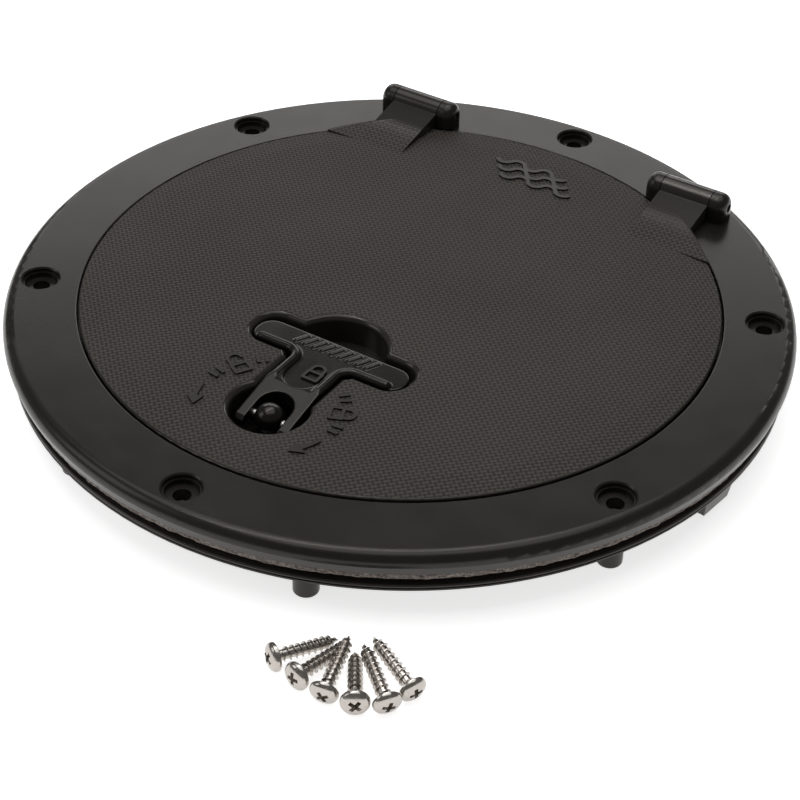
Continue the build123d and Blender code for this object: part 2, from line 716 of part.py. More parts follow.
with BuildPart() as spindle_o_ring:
    with BuildSketch(HUB_SECTION):
        with Locations((SPINDLE_R + O_RING_TUBE, O_RING_Z)):
            Circle(O_RING_TUBE)
    revolve(axis=HUB_AXIS)
finish(spindle_o_ring, "spindle_o_ring")

with BuildPart() as thrust_washer:
    extrude(ring_sketch(THRUST_R, SPINDLE_R + ASSEMBLY_GAP, BUSH_FOOT - THRUST_T), amount=THRUST_T)
finish(thrust_washer, "thrust_washer")

with BuildPart() as spring_washer:
    with BuildSketch(HUB_SECTION):
        with BuildLine():
            Polyline(
                (SPINDLE_R, CAM_TOP + SPRING_RISE),
                (SPINDLE_R + 1.0, CAM_TOP + SPRING_RISE),
                (7.2, CAM_TOP + SPRING_T),
                (7.2, CAM_TOP),
                (6.2, CAM_TOP),
                (SPINDLE_R, CAM_TOP + SPRING_RISE - SPRING_T),
                close=True,
            )
        make_face()
    revolve(axis=HUB_AXIS)
finish(spring_washer, "spring_washer")

# ================================================================ latch cam
# The arm runs out under the cup, rises beside it and hooks under the coaming's foot.
FINGER_TOP = COAMING_FOOT - CAM_GAP
with BuildPart() as latch_cam:
    with BuildSketch(Plane.XY.offset(WASHER_TOP)):
        with Locations((0, HUB_Y)):
            Circle(CAM_HUB_R)
        with Locations((0, (HUB_Y + CAM_RISER_Y - CAM_RISER_T) / 2)):
            Rectangle(2 * CAM_HALF, HUB_Y - CAM_RISER_Y + CAM_RISER_T)
    extrude(amount=CAM_T)
    with BuildSketch(Plane.XY.offset(WASHER_TOP)):
        with Locations((0, CAM_RISER_Y - CAM_RISER_T / 2)):
            Rectangle(2 * CAM_HALF, CAM_RISER_T)
    extrude(amount=FINGER_TOP - WASHER_TOP)
    with BuildSketch(Plane.XY.offset(FINGER_TOP - CAM_FINGER_T)):
        with Locations((0, (CAM_RISER_Y + CAM_TIP_Y) / 2)):
            Rectangle(2 * CAM_HALF, CAM_RISER_Y - CAM_TIP_Y)
    extrude(amount=CAM_FINGER_T)
    outer_corners = latch_cam.edges().filter_by(Axis.Z).group_by(Axis.Y)[0]
    fillet(outer_corners, 2.5)
    inner_bend = (
        latch_cam.edges()
        .filter_by(Axis.X)
        .filter_by_position(Axis.Z, CAM_TOP - 0.01, CAM_TOP + 0.01)
        .filter_by_position(Axis.Y, CAM_RISER_Y - 0.01, CAM_RISER_Y + 0.01)
    )
    fillet(inner_bend, 0.8)
    # Keyed hole that fits the spindle's flats.
    with BuildSketch(Plane.XY.offset(WASHER_TOP)) as key_hole:
        with Locations((0, HUB_Y)):
            Circle(SPINDLE_R + ASSEMBLY_GAP)
        for side in (-1, 1):
            with Locations((side * (SPINDLE_R + 1.6 + ASSEMBLY_GAP), HUB_Y)):
                Rectangle(4.0, 3 * SPINDLE_R, mode=Mode.SUBTRACT)
    extrude(amount=CAM_T, mode=Mode.SUBTRACT)
finish(latch_cam, "latch_cam")

with BuildPart() as cam_washer:
    extrude(ring_sketch(5.6, 1.5, WASHER_FOOT), amount=WASHER_T)
finish(cam_washer, "cam_washer")

with BuildPart() as cam_screw:
    with BuildSketch(Plane.XY.offset(WASHER_FOOT - SCREW_HEAD_T)):
        with Locations((0, HUB_Y)):
            Circle(3.6)
    extrude(amount=SCREW_HEAD_T)
    fillet(cam_screw.edges().group_by(Axis.Z)[0], 0.9)
    with BuildSketch(Plane.XY.offset(WASHER_FOOT)):
        with Locations((0, HUB_Y)):
            Circle(1.5)
    extrude(amount=WASHER_T + 7.5)
    with BuildSketch(Plane.XY.offset(WASHER_FOOT - SCREW_HEAD_T)):
        with Locations((0, HUB_Y)):
            Rectangle(3.6, 0.9)
            Rectangle(0.9, 3.6)
    extrude(amount=1.2, mode=Mode.SUBTRACT)
finish(cam_screw, "cam_screw")

# ================================================================ raised marks
def arc_arrow(start_angle, end_angle):
    """Curved stroke around the hub that ends in an arrowhead, added to the open sketch."""
    step = 1 if end_angle > start_angle else -1
    with BuildSketch(Plane.XY.offset(LID_TOP)) as sketch:
        with BuildLine():
            outer = CenterArc((0, HUB_Y), MARK_ARC_R + MARK_WIDTH / 2, start_angle, end_angle - start_angle)
            inner = CenterArc((0, HUB_Y), MARK_ARC_R - MARK_WIDTH / 2, start_angle, end_angle - start_angle)
            Line(outer @ 0, inner @ 0)
            Line(outer @ 1, inner @ 1)
        make_face()
        tip = end_angle + step * 9.0
        barb = end_angle - step * 1.0
        with BuildLine():
            Polyline(
                hub_polar(MARK_ARC_R, tip),
                hub_polar(MARK_ARC_R + 2.6, barb),
                hub_polar(MARK_ARC_R - 2.6, barb),
                close=True,
            )
        make_face()
    return sketch.sketch


def hub_polar(radius, angle):
    """Point on a circle about the handle's hub."""
    return (radius * cos(radians(angle)), HUB_Y + radius * sin(radians(angle)))


def padlock(centre, width, turn, plane_z, is_open):
    """Padlock pictogram: an outlined body under a round shackle."""
    frame = Plane(
        origin=(centre[0], centre[1], plane_z),
        x_dir=(cos(radians(turn)), sin(radians(turn)), 0),
        z_dir=(0, 0, 1),
    )
    body_height = 0.8 * width
    shackle_r = 0.36 * width
    stroke = 0.17 * width
    lift = 0.25 * width if is_open else 0.0
    with BuildSketch(frame) as sketch:
        with Locations((0, -body_height / 2)):
            RectangleRounded(width, body_height, 0.1 * width)
            Rectangle(width - 2 * stroke, body_height - 2 * stroke, mode=Mode.SUBTRACT)
        with BuildLine():
            rise = 0.16 * width + lift
            Line((-shackle_r, -0.1), (-shackle_r, rise))
            ThreePointArc((-shackle_r, rise), (0, rise + shackle_r), (shackle_r, rise))
            if not is_open:
                Line((shackle_r, rise), (shackle_r, -0.1))
            offset(amount=stroke / 2, kind=Kind.ARC)
        make_face()
    return sketch.sketch


def ticks(middle):
    """Short radial ticks on both sides of a padlock, on the marks' arc."""
    with BuildSketch(Plane.XY.offset(LID_TOP)) as sketch:
        for step in TICK_STEPS:
            with Locations(hub_polar(MARK_ARC_R, middle + step)):
                Rectangle(TICK_LENGTH, MARK_WIDTH, rotation=middle + step)
    return sketch.sketch


with BuildPart() as open_mark:
    extrude(arc_arrow(187.0, 204.0), amount=MARK_HEIGHT)
    extrude(ticks(OPEN_ANGLE), amount=MARK_HEIGHT)
    extrude(
        padlock(hub_polar(MARK_ARC_R, OPEN_ANGLE), LID_LOCK_WIDTH, OPEN_ANGLE - 90, LID_TOP, True),
        amount=MARK_HEIGHT,
    )
finish(open_mark, "open_mark")

with BuildPart() as close_mark:
    extrude(arc_arrow(-15.0, -32.0), amount=MARK_HEIGHT)
    extrude(ticks(CLOSE_ANGLE), amount=MARK_HEIGHT)
    extrude(
        padlock(hub_polar(MARK_ARC_R, CLOSE_ANGLE), LID_LOCK_WIDTH, CLOSE_ANGLE - 90, LID_TOP, False),
        amount=MARK_HEIGHT,
    )
finish(close_mark, "close_mark")

with BuildPart() as lock_mark:
    extrude(padlock(HANDLE_LOCK_AT, HANDLE_LOCK_WIDTH, 0.0, DISH_TOP, False), amount=MARK_HEIGHT)
finish(lock_mark, "lock_mark")

# Wave emblem: three rows of raised ripples.
with BuildPart() as lid_emblem:
    for row in range(EMBLEM_ROWS):
        row_y = EMBLEM_Y - EMBLEM_PITCH * row
        left = EMBLEM_LEFT + EMBLEM_STAGGER * row
        half = EMBLEM_WAVE / 2
        with BuildSketch(Plane.XY.offset(LID_TOP)):
            for k in range(EMBLEM_HALF_WAVES):
                rise = EMBLEM_RISE if k % 2 else -EMBLEM_RISE
                with BuildLine() as ripple:
                    ThreePointArc(
                        (left + k * half, row_y),
                        (left + (k + 0.5) * half, row_y + rise),
                        (left + (k + 1) * half, row_y),
                    )
                trace(ripple.line, line_width=EMBLEM_STROKE)
        extrude(amount=MARK_HEIGHT)
finish(lid_emblem, "lid_emblem")

# ================================================================ loose mounting screws
def screw_section():
    """Half section of a pan-head self-tapping screw along +X, head at the origin."""
    turns = int((SCREW_LENGTH - SCREW_POINT - 1.5) / SCREW_PITCH)
    points = [(-SCREW_HEAD_H, 0), (-SCREW_HEAD_H, 1.2)]
    points += [(-SCREW_HEAD_H + 0.7, 2.9), (-1.0, SCREW_HEAD_R - 0.1), (0, SCREW_HEAD_R)]
    points += [(0, SCREW_CORE_R), (1.5, SCREW_CORE_R)]
    for turn in range(turns):
        root = 1.5 + turn * SCREW_PITCH
        points += [
            (root + 0.75 * SCREW_PITCH, SCREW_THREAD_R),
            (root + SCREW_PITCH, SCREW_CORE_R),
        ]
    points += [(SCREW_LENGTH, 0)]
    return points


with BuildPart() as mounting_screws:
    for head_x, head_y, heading, lift in SCREW_FAN:
        # Each screw lies on its head's rim; its point rests on the floor or on its neighbours.
        rise = atan2(lift + SCREW_THREAD_R - SCREW_HEAD_R, SCREW_LENGTH)
        axis_dir = Vector(cos(radians(heading)), sin(radians(heading)), sin(rise) / cos(rise))
        side_dir = Vector(-sin(radians(heading)), cos(radians(heading)), 0)
        lying = Plane(
            origin=(head_x, head_y, PEG_FOOT + SCREW_HEAD_R + 0.05),
            x_dir=axis_dir,
            z_dir=axis_dir.cross(side_dir),
        )
        with BuildSketch(lying):
            with BuildLine():
                Polyline(*screw_section(), close=True)
            make_face()
        revolve(axis=Axis(lying.origin, lying.x_dir))
finish(mounting_screws, "mounting_screws")
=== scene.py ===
"""Looks of the deck hatch: materials for every CAD node, and detailed pieces where CAD is plain."""

import json
from math import cos, pi, radians, sin, tau

import bmesh
import bpy
import numpy as np
from mathutils import Matrix, Vector, noise


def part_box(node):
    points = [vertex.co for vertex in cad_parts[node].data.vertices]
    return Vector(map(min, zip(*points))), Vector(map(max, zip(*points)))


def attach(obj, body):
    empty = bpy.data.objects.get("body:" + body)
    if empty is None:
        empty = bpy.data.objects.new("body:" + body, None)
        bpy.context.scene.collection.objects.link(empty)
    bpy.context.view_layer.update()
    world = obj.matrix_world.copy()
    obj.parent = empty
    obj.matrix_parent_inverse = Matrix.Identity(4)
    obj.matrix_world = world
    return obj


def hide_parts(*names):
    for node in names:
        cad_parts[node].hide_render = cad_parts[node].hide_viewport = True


MM = 0.001

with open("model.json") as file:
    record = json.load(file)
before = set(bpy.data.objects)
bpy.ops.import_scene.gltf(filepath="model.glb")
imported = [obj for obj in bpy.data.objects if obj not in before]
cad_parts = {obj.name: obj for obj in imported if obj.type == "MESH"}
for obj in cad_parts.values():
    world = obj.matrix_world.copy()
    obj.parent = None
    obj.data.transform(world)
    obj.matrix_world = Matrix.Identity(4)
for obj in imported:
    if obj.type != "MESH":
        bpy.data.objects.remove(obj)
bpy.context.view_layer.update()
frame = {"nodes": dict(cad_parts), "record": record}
nodes = frame["nodes"]

# ------------------------------------------------------------------ places read from the frame
LID_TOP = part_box("lid_emblem")[0].z
FLANGE_TOP = LID_TOP - 1.3 * MM
FLOOR = min(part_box("backing_ring")[0].z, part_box("mounting_screws")[0].z)
LID_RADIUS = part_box("lid_panel")[1].x


# ------------------------------------------------------------------ camera, lights, floor
def add_camera():
    """Camera above the hatch's front and to its right, slightly rolled."""
    azimuth, elevation, roll = radians(31.5), radians(37.9), radians(1.52)
    distance = 638.2 * MM
    target = Vector((30.5 * MM, -48.6 * MM, FLANGE_TOP))
    back = Vector((sin(azimuth) * cos(elevation), -cos(azimuth) * cos(elevation), sin(elevation)))
    right = Vector((0, 0, 1)).cross(back).normalized()
    up = back.cross(right)
    rolled_right = right * cos(roll) + up * sin(roll)
    rolled_up = up * cos(roll) - right * sin(roll)
    camera = bpy.data.objects.new("camera", bpy.data.cameras.new("camera"))
    camera.data.lens = 93.98
    camera.data.sensor_width = 36.0
    camera.data.clip_start = 0.01
    camera.matrix_world = Matrix.Translation(target + back * distance) @ Matrix(
        (rolled_right, rolled_up, back)
    ).transposed().to_4x4()
    bpy.context.scene.collection.objects.link(camera)
    bpy.context.scene.camera = camera


def add_softbox(name, place, width, depth, power):
    """Rectangular area light at a place, facing the middle of the hatch."""
    light = bpy.data.lights.new(name, "AREA")
    light.shape = "RECTANGLE"
    light.size = width
    light.size_y = depth
    light.energy = power
    lamp = bpy.data.objects.new(name, light)
    lamp.location = place
    lamp.rotation_euler = (-lamp.location).to_track_quat("-Z", "Y").to_euler()
    bpy.context.scene.collection.objects.link(lamp)


def add_world():
    """Even grey studio surround."""
    world = bpy.data.worlds.new("studio")
    world.use_nodes = True
    background = world.node_tree.nodes["Background"]
    background.inputs["Color"].default_value = (1.0, 0.99, 0.98, 1)
    background.inputs["Strength"].default_value = 0.18
    bpy.context.scene.world = world


def add_floor():
    """Plain white floor under the hatch."""
    half = 4.0
    mesh = bpy.data.meshes.new("floor")
    corners = [(-half, -half, FLOOR), (half, -half, FLOOR), (half, half, FLOOR), (-half, half, FLOOR)]
    mesh.from_pydata(corners, [], [(0, 1, 2, 3)])
    floor = bpy.data.objects.new("floor", mesh)
    bpy.context.scene.collection.objects.link(floor)
    material = bpy.data.materials.new("floor_white")
    material.use_nodes = True
    shader = material.node_tree.nodes["Principled BSDF"]
    shader.inputs["Base Color"].default_value = (0.93, 0.93, 0.93, 1)
    shader.inputs["Roughness"].default_value = 0.9
    shader.inputs["Specular IOR Level"].default_value = 0.1
    shader.inputs["Emission Color"].default_value = (1, 1, 1, 1)
    shader.inputs["Emission Strength"].default_value = 0.72
    mesh.materials.append(material)


# ------------------------------------------------------------------ material building blocks
GRAIN_CELL = 1.93 * MM
GRAIN_HEIGHT = 0.34 * MM
GRAIN_MARGIN = 0.3 * MM
# Dark and light ends of the lid colour: random cloudy tone, plus painted shade in the grain's pits and on the
# smooth recess, rim and hinges, and painted highlight on the grain's crests.
LID_DARK_AND_SHADE = (0.0125, 0.0111, 0.0100)
LID_LIGHT_AND_HIGHLIGHT = (0.068, 0.0613, 0.0556)
WARM_SHEEN = (1.0, 0.94, 0.88, 1)


class Nodes:
    """Short names for the few shader nodes that the materials share."""

    def __init__(self, name, color, roughness, metallic=0.0, specular=0.5):
        self.material = bpy.data.materials.new(name)
        self.material.use_nodes = True
        self.tree = self.material.node_tree
        self.shader = self.tree.nodes["Principled BSDF"]
        self.shader.inputs["Base Color"].default_value = (*color, 1)
        self.shader.inputs["Roughness"].default_value = roughness
        self.shader.inputs["Metallic"].default_value = metallic
        self.shader.inputs["Specular IOR Level"].default_value = specular
        if not metallic:
            self.shader.inputs["Specular Tint"].default_value = WARM_SHEEN
        self.place = self.add("ShaderNodeTexCoord").outputs["Object"]

    def add(self, kind, **settings):
        node = self.tree.nodes.new(kind)
        for key, value in settings.items():
            setattr(node, key, value)
        return node

    def link(self, source, target):
        self.tree.links.new(source, target)

    def math(self, operation, first, second=None, third=None):
        node = self.add("ShaderNodeMath", operation=operation)
        for socket, value in zip(node.inputs, (first, second, third)):
            if value is None:
                continue
            if isinstance(value, (int, float)):
                socket.default_value = value
            else:
                self.link(value, socket)
        return node.outputs[0]

    def ramp(self, value, low, high, to_low=0.0, to_high=1.0):
        """Maps value from low..high onto to_low..to_high, smooth and clamped."""
        node = self.add("ShaderNodeMapRange", interpolation_type="SMOOTHSTEP")
        self.link(value, node.inputs["Value"])
        node.inputs["From Min"].default_value = low
        node.inputs["From Max"].default_value = high
        node.inputs["To Min"].default_value = to_low
        node.inputs["To Max"].default_value = to_high
        return node.outputs["Result"]

    def noise(self, size, detail=3.0, stretch=None):
        """Noise whose blotches are about size metres across."""
        node = self.add("ShaderNodeTexNoise")
        node.inputs["Scale"].default_value = 1.0 / size
        node.inputs["Detail"].default_value = detail
        vector = self.place
        if stretch:
            scaled = self.add("ShaderNodeVectorMath", operation="MULTIPLY")
            self.link(self.place, scaled.inputs[0])
            scaled.inputs[1].default_value = stretch
            vector = scaled.outputs[0]
        self.link(vector, node.inputs["Vector"])
        return node.outputs["Fac"]

    def bump(self, height, distance, strength=1.0):
        node = self.add("ShaderNodeBump")
        node.inputs["Strength"].default_value = strength
        node.inputs["Distance"].default_value = distance
        self.link(height, node.inputs["Height"])
        self.link(node.outputs["Normal"], self.shader.inputs["Normal"])

    def blend_colors(self, factor, first, second):
        node = self.add("ShaderNodeMix", data_type="RGBA")
        self.link(factor, node.inputs["Factor"])
        node.inputs["A"].default_value = (*first, 1)
        node.inputs["B"].default_value = (*second, 1)
        self.link(node.outputs["Result"], self.shader.inputs["Base Color"])


def moulded(name, dark, light, roughness, grain=0.02, scuff=0.06, specular=0.32):
    """Moulded black plastic: faint cloudy colour, fine orange peel and uneven gloss."""
    m = Nodes(name, dark, roughness, specular=specular)
    m.blend_colors(m.ramp(m.noise(0.030), 0.35, 0.7), dark, light)
    uneven = m.noise(0.012, 5.0)
    m.link(m.ramp(uneven, 0.3, 0.75, roughness - scuff / 2, roughness + scuff), m.shader.inputs["Roughness"])
    m.bump(m.noise(0.0011, 2.0), grain * MM)
    return m.material


def grained_lid():
    """Lid plastic: a fine diamond non-slip grain that stops short of the rim, recess and hinges; its colour
    carries painted shade in the grain's pits, painted highlight on its crests and painted shade off the
    grain.
    """
    m = Nodes("lid_grain", (0.040, 0.036, 0.033), 0.6, specular=0.20)
    axes = m.add("ShaderNodeSeparateXYZ")
    m.link(m.place, axes.inputs[0])
    x, y, z = axes.outputs
    turns = tau / GRAIN_CELL
    diagonal = m.math("MULTIPLY",
                      m.math("COSINE", m.math("MULTIPLY", x, turns)),
                      m.math("COSINE", m.math("MULTIPLY", y, turns)))
    square = m.math("ADD",
                    m.math("SINE", m.math("MULTIPLY", x, turns)),
                    m.math("SINE", m.math("MULTIPLY", y, turns)))
    weave = m.math("MULTIPLY_ADD", square, 0.10, m.math("MULTIPLY_ADD", diagonal, 0.40, 0.5))

    flat = m.add("ShaderNodeVectorMath", operation="MULTIPLY")
    m.link(m.place, flat.inputs[0])
    flat.inputs[1].default_value = (1, 1, 0)
    radius = m.add("ShaderNodeVectorMath", operation="LENGTH")
    m.link(flat.outputs[0], radius.inputs[0])
    inside_rim = m.ramp(radius.outputs["Value"],
                        LID_RADIUS - 2 * GRAIN_MARGIN, LID_RADIUS - GRAIN_MARGIN, 1.0, 0.0)

    normal = m.add("ShaderNodeSeparateXYZ")
    m.link(m.tree.nodes["Texture Coordinate"].outputs["Normal"], normal.inputs[0])
    faces_up = m.ramp(normal.outputs["Z"], 0.93, 0.965)
    above_recess = m.ramp(z, LID_TOP - 1.9 * MM, LID_TOP - 1.6 * MM)
    below_knuckle = m.ramp(z, LID_TOP + 1.2 * MM, LID_TOP + 3.4 * MM, 1.0, 0.0)
    grained = m.math("MULTIPLY", m.math("MULTIPLY", inside_rim, faces_up),
                     m.math("MULTIPLY", above_recess, below_knuckle))

    cloud = m.ramp(m.noise(0.045, 4.0), 0.3, 0.7, 0.43, 0.57)
    # Painted light and shade on the grain: the colour follows the grain's height, darker in its pits and
    # lighter on its crests, over the random cloudy tone.
    crest = m.math("MULTIPLY_ADD", m.math("MULTIPLY", m.math("SUBTRACT", weave, 0.5), grained), 1.3, cloud)
    # Painted shade: off the grain (recess floors, side walls, rim edge and hinge knuckle) the colour is
    # pulled darker.
    crest = m.math("ADD", crest, m.math("MULTIPLY_ADD", grained, 0.5, -0.5))
    m.blend_colors(m.ramp(crest, -0.3, 1.3), LID_DARK_AND_SHADE, LID_LIGHT_AND_HIGHLIGHT)
    m.link(m.math("MULTIPLY_ADD", grained, 0.40, 0.20), m.shader.inputs["Roughness"])
    m.link(m.math("MULTIPLY_ADD", grained, -0.22, 0.42), m.shader.inputs["Specular IOR Level"])
    m.bump(m.math("MULTIPLY", weave, grained), GRAIN_HEIGHT)
    return m.material


def foam():
    """Closed-cell foam seen on its cut edge."""
    m = Nodes("gasket_foam", (0.10, 0.08, 0.07), 0.95, specular=0.15)
    m.blend_colors(m.ramp(m.noise(0.0009, 4.0), 0.35, 0.7), (0.10, 0.083, 0.074), (0.24, 0.21, 0.19))
    m.bump(m.noise(0.0006, 4.0), 0.25 * MM)
    return m.material


def steel(name, color, roughness, streak=(1, 1, 1)):
    """Stainless steel with faint tooling marks."""
    m = Nodes(name, color, roughness, metallic=1.0)
    marks = m.noise(0.0012, 4.0, streak)
    m.link(m.ramp(marks, 0.3, 0.75, roughness - 0.06, roughness + 0.10), m.shader.inputs["Roughness"])
    m.bump(m.noise(0.0005, 3.0, streak), 0.008 * MM)
    return m.material


def rubber(name, color):
    """Soft black rubber with a dusty bloom."""
    m = Nodes(name, color, 0.7, specular=0.3)
    bloom = tuple(c * 2.2 for c in color)
    m.blend_colors(m.ramp(m.noise(0.006, 4.0), 0.45, 0.75), color, bloom)
    m.bump(m.noise(0.0008, 3.0), 0.03 * MM)
    return m.material


def nylon(name, color):
    """Natural turned or moulded nylon, slightly waxy."""
    m = Nodes(name, color, 0.42)
    shade = tuple(c * 0.82 for c in color)
    m.blend_colors(m.ramp(m.noise(0.004, 4.0), 0.35, 0.7), shade, color)
    m.bump(m.noise(0.0007, 3.0), 0.015 * MM)
    return m.material


def make_materials():
    """One material for each slot of the record."""
    return {
        "ring_plastic": moulded("ring_plastic", (0.0105, 0.0094, 0.0086), (0.0135, 0.0122, 0.0113), 0.25,
                                scuff=0.025),
        "gasket_foam": foam(),
        "backing_plastic": moulded("backing_plastic", (0.030, 0.027, 0.0255), (0.038, 0.035, 0.033), 0.32),
        "pin_steel": steel("pin_steel", (0.50, 0.49, 0.48), 0.28, (1, 8, 8)),
        "lid_plastic": grained_lid(),
        "seal_rubber": rubber("seal_rubber", (0.012, 0.012, 0.012)),
        "mark_plastic": moulded("mark_plastic", (0.0065, 0.0058, 0.0052), (0.0095, 0.0085, 0.0078), 0.34),
        "bush_plastic": nylon("bush_plastic", (0.62, 0.60, 0.55)),
        "handle_plastic": moulded("handle_plastic", (0.0045, 0.0041, 0.0038), (0.0065, 0.0059, 0.0055), 0.17,
                                  grain=0.012, scuff=0.03, specular=0.34),
        "spindle_steel": steel("spindle_steel", (0.55, 0.54, 0.53), 0.24, (6, 6, 1)),
        "washer_plastic": nylon("washer_plastic", (0.70, 0.69, 0.66)),
        "spring_steel": steel("spring_steel", (0.45, 0.44, 0.44), 0.26),
        "cam_plastic": moulded("cam_plastic", (0.0150, 0.0150, 0.0150), (0.0260, 0.0255, 0.0250), 0.48,
                               grain=0.04),
        "screw_steel": steel("screw_steel", (0.44, 0.41, 0.38), 0.20),
    }


def slot_of(node):
    """Name of the record's material slot for a CAD node."""
    return next(s["material_slot"] for s in frame["record"]["subparts"] if s["node"] == node)


def dress_frame(materials):
    """Gives each CAD node the material of its slot."""
    for name, obj in nodes.items():
        obj.data.materials.clear()
        obj.data.materials.append(materials[slot_of(name)])


# ------------------------------------------------------------------ meshes
GASKET_BORE_RADIUS = 107.9 * MM
BROAD_FRAY = 0.35 * MM
FINE_FRAY = 0.30 * MM
EDGE_BULGE = 0.25 * MM


def new_piece(name, mesh, body, slot, materials, replaced=None):
    """Links a finished mesh as a piece that rides on a body."""
    piece = bpy.data.objects.new(name, mesh)
    bpy.context.scene.collection.objects.link(piece)
    mesh.materials.clear()
    mesh.materials.append(materials[slot])
    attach(piece, body)
    if replaced:
        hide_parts(replaced)
    return piece


def applied(obj):
    """Mesh of an object with its modifiers applied."""
    depsgraph = bpy.context.evaluated_depsgraph_get()
    return bpy.data.meshes.new_from_object(obj.evaluated_get(depsgraph))


def softened_copy(node, name, voxel, rounds):
    """Copy of a CAD node's mesh with its edges softened as moulding leaves them."""
    scratch = bpy.data.objects.new("scratch", nodes[node].data.copy())
    bpy.context.scene.collection.objects.link(scratch)
    remesh = scratch.modifiers.new("remesh", "REMESH")
    remesh.mode = "VOXEL"
    remesh.voxel_size = voxel
    smooth = scratch.modifiers.new("smooth", "SMOOTH")
    smooth.factor = 0.5
    smooth.iterations = rounds
    mesh = applied(scratch)
    mesh.name = name
    bpy.data.objects.remove(scratch)
    mesh.polygons.foreach_set("use_smooth", [True] * len(mesh.polygons))
    return mesh


def frayed_gasket():
    """Foam ring whose cut outer edge wanders and bulges a little."""
    low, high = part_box("deck_gasket")
    outer = high.x
    steps, rows = 720, 6
    mesh = bpy.data.meshes.new("gasket_ring")
    bm = bmesh.new()
    loops = []
    for i in range(steps):
        angle = tau * i / steps
        bore = (GASKET_BORE_RADIUS * cos(angle), GASKET_BORE_RADIUS * sin(angle))
        loop = [bm.verts.new((*bore, low.z)), bm.verts.new((*bore, high.z))]
        for row in range(rows):
            share = row / (rows - 1)
            z = high.z + (low.z - high.z) * share
            seed = Vector((cos(angle) * 60, sin(angle) * 60, share * 2.5))
            fray = BROAD_FRAY * (0.5 + noise.noise(seed)) + FINE_FRAY * (0.5 + noise.noise(seed * 4.1))
            radius = outer - fray - EDGE_BULGE * (2 * share - 1) ** 2
            loop.append(bm.verts.new((radius * cos(angle), radius * sin(angle), z)))
        loops.append(loop)
    for i in range(steps):
        here, there = loops[i], loops[(i + 1) % steps]
        for k in range(len(here)):
            j = (k + 1) % len(here)
            bm.faces.new((here[k], there[k], there[j], here[j]))
    bmesh.ops.recalc_face_normals(bm, faces=bm.faces)
    bm.to_mesh(mesh)
    bm.free()
    return mesh


# ------------------------------------------------------------------ mounting screws
HEAD_RADIUS = 4.3 * MM
HEAD_HEIGHT = 2.6 * MM
THREAD_RADIUS = 2.3 * MM
CORE_RADIUS = 1.55 * MM
THREAD_PITCH = 1.9 * MM
THREAD_START = 1.2 * MM
THREAD_END_GAP = 0.2 * MM
POINT_LENGTH = 3.4 * MM
ON_AXIS = 1e-7


def revolve_profile(bm, profile, steps):
    """Surface of revolution about +X through (x, radius) points; ends on the axis are closed."""
    rings = []
    for x, radius in profile:
        if radius < ON_AXIS:
            rings.append([bm.verts.new((x, 0, 0))])
            continue
        rings.append([bm.verts.new((x, radius * cos(tau * i / steps), radius * sin(tau * i / steps)))
                      for i in range(steps)])
    for here, there in zip(rings, rings[1:]):
        for i in range(steps):
            j = (i + 1) % steps
            corners = [here[i % len(here)], here[j % len(here)], there[j % len(there)], there[i % len(there)]]
            bm.faces.new(list(dict.fromkeys(corners)))


def add_thread(bm, length):
    """Sharp helical thread from under the head to the point, fading in and tapering to the tip."""
    steps = 28
    turns = (length - THREAD_START - THREAD_END_GAP) / THREAD_PITCH
    total = int(turns * steps)
    half_root, half_crest = 0.46 * MM, 0.07 * MM
    sections = []
    for i in range(total + 1):
        angle = tau * i / steps
        x = THREAD_START + THREAD_PITCH * i / steps
        start = min(1.0, i / (0.6 * steps))
        taper = min(1.0, max(0.05, (length - x) / POINT_LENGTH))
        root = CORE_RADIUS * taper * 0.92
        crest = root + (THREAD_RADIUS - CORE_RADIUS) * start * (0.35 + 0.65 * taper)
        section = []
        for dx, radius in ((-half_root, root), (-half_crest, crest), (half_crest, crest), (half_root, root)):
            along = x + dx * (0.6 + 0.4 * taper)
            section.append(bm.verts.new((along, radius * cos(angle), radius * sin(angle))))
        sections.append(section)
    for here, there in zip(sections, sections[1:]):
        for k in range(4):
            j = (k + 1) % 4
            bm.faces.new((here[k], here[j], there[j], there[k]))
    bm.faces.new(sections[0])
    bm.faces.new(reversed(sections[-1]))


def cross_cutter():
    """Tapered four-winged driver bit that cuts the cross recess."""
    mesh = bpy.data.meshes.new("cutter")
    bm = bmesh.new()
    depth = 2.1 * MM
    reach, half_width = 2.25 * MM, 0.62 * MM
    for turn in range(2):
        rotation = Matrix.Rotation(turn * pi / 2, 4, "X")
        corners = []
        for x, share in ((-HEAD_HEIGHT - 0.6 * MM, 1.15), (-HEAD_HEIGHT + depth, 0.32)):
            for y, z in ((-1, -1), (1, -1), (1, 1), (-1, 1)):
                wing = z * half_width * (0.4 + 0.6 * share)
                corners.append(rotation @ Vector((x, y * reach * share, wing)))
        verts = [bm.verts.new(c) for c in corners]
        for face in ((3, 2, 1, 0), (4, 5, 6, 7), (0, 1, 5, 4), (1, 2, 6, 5), (2, 3, 7, 6), (3, 0, 4, 7)):
            bm.faces.new([verts[i] for i in face])
    bmesh.ops.recalc_face_normals(bm, faces=bm.faces)
    bm.to_mesh(mesh)
    bm.free()
    return mesh


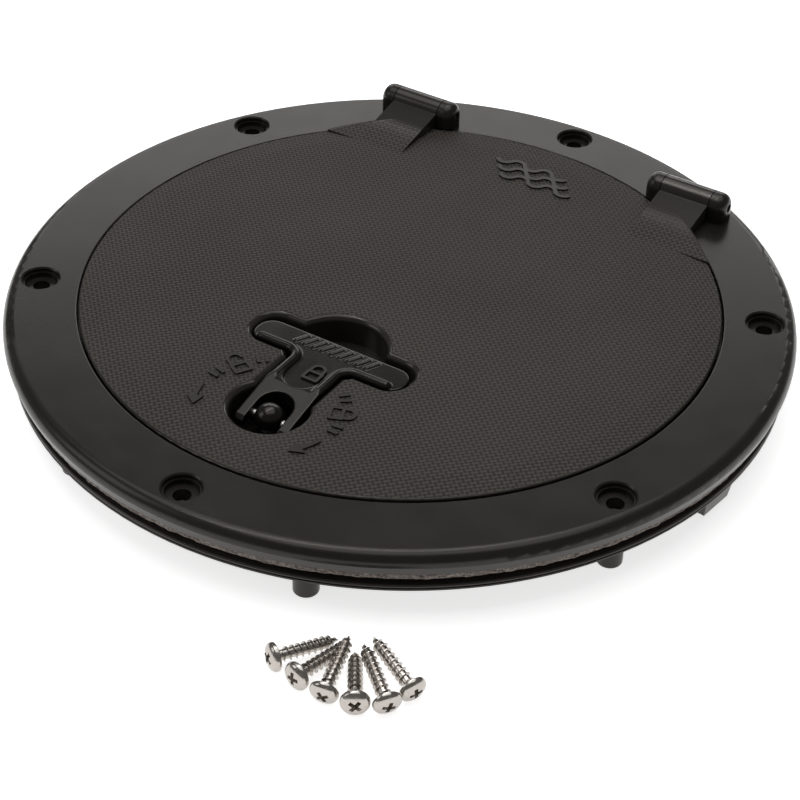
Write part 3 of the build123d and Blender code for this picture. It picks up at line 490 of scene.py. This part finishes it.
def screw_mesh(length):
    """Pan-head cross-recess screw along +X with the head's underside at the origin."""
    head = bpy.data.meshes.new("screw_head")
    bm = bmesh.new()
    dome = []
    rim_start = -0.75 * MM
    crown = HEAD_HEIGHT + rim_start
    for i in range(9):
        angle = i / 8 * pi / 2
        radius = (HEAD_RADIUS - 0.05 * MM) * sin(angle) ** 0.9 if i else 0.0
        dome.append((rim_start - crown * cos(angle), radius))
    rim = [(-0.45 * MM, HEAD_RADIUS), (-0.15 * MM, HEAD_RADIUS - 0.03 * MM), (0, HEAD_RADIUS - 0.18 * MM)]
    shank = [(0.01 * MM, CORE_RADIUS * 1.25), (0.5 * MM, CORE_RADIUS)]
    point = [(length - POINT_LENGTH, CORE_RADIUS), (length - 0.35 * MM, CORE_RADIUS * 0.16), (length, 0)]
    revolve_profile(bm, dome + rim + shank + point, 48)
    bmesh.ops.recalc_face_normals(bm, faces=bm.faces)
    bm.to_mesh(head)
    bm.free()
    body = bpy.data.objects.new("scratch_screw", head)
    cutter = bpy.data.objects.new("scratch_cutter", cross_cutter())
    for obj in (body, cutter):
        bpy.context.scene.collection.objects.link(obj)
    cut = body.modifiers.new("recess", "BOOLEAN")
    cut.operation = "DIFFERENCE"
    cut.solver = "EXACT"
    cut.use_self = True
    cut.object = cutter
    result = applied(body)
    for obj in (body, cutter):
        bpy.data.objects.remove(obj)
    bm = bmesh.new()
    bm.from_mesh(result)
    add_thread(bm, length)
    bm.to_mesh(result)
    bm.free()
    result.polygons.foreach_set("use_smooth", [True] * len(result.polygons))
    result.set_sharp_from_angle(angle=radians(38))
    return result


def loose_parts(obj):
    """Vertex arrays of a mesh's separate islands."""
    count = len(obj.data.vertices)
    parent = list(range(count))

    def find(i):
        while parent[i] != i:
            parent[i] = parent[parent[i]]
            i = parent[i]
        return i

    keys = {}
    for v in obj.data.vertices:
        key = tuple(round(c * 1e6) for c in v.co)
        first = keys.setdefault(key, v.index)
        parent[find(v.index)] = find(first)
    for edge in obj.data.edges:
        a, b = edge.vertices
        parent[find(a)] = find(b)
    groups = {}
    for v in obj.data.vertices:
        groups.setdefault(find(v.index), []).append(v.co[:])
    return [np.array(points) for points in groups.values()]


def screw_placement(points):
    """Underside centre of the head, direction to the tip and shank length of a plain CAD screw."""
    centre = (points.max(0) + points.min(0)) / 2
    mean = points.mean(0)
    direction = np.linalg.svd(points - mean, full_matrices=False)[2][0]
    along = (points - centre) @ direction
    spread = np.linalg.norm(points - centre - np.outer(along, direction), axis=1)
    if spread[along > 0].max() > spread[along < 0].max():
        direction = -direction
    rim = points[spread > 0.93 * spread.max()]
    underside = mean + direction * ((rim - mean) @ direction).max()
    length = ((points - underside) @ direction).max()
    return Vector(underside), Vector(direction), float(length)


def add_screws(materials):
    """Detailed screws where the plain CAD ones lie."""
    parts = sorted(loose_parts(nodes["mounting_screws"]), key=lambda p: p[:, 0].mean())
    for index, points in enumerate(parts):
        head, direction, length = screw_placement(points)
        side = Vector((0, 0, 1)).cross(direction).normalized()
        upright = direction.cross(side)
        basis = Matrix((direction, side, upright)).transposed().to_4x4()
        spin = Matrix.Rotation(radians(17 + 67 * index), 4, "X")
        mesh = screw_mesh(length)
        mesh.transform(Matrix.Translation(head) @ basis @ spin)
        new_piece(f"screw_{index + 1}", mesh, "screws", "screw_steel", materials, "mounting_screws")


# ------------------------------------------------------------------ build
add_camera()
add_world()
add_floor()
add_softbox("overhead", (-0.10, 0.10, 1.20), 1.3, 1.3, 8.0)
add_softbox("back", (-0.72, 1.18, 0.64), 1.6, 0.5, 5.0)
add_softbox("front_left", (-1.20, -0.90, 0.90), 0.8, 0.8, 3.0)
add_softbox("strip", (-0.25, 0.10, 1.10), 1.0, 0.06, 1.9)

materials = make_materials()
dress_frame(materials)
new_piece("handle_shell", softened_copy("t_handle", "handle_shell", 0.25 * MM, 6), "handle",
          "handle_plastic", materials, "t_handle")
new_piece("gasket_ring", frayed_gasket(), "frame", "gasket_foam", materials, "deck_gasket")
add_screws(materials)

bpy.context.scene.view_settings.view_transform = "Standard"
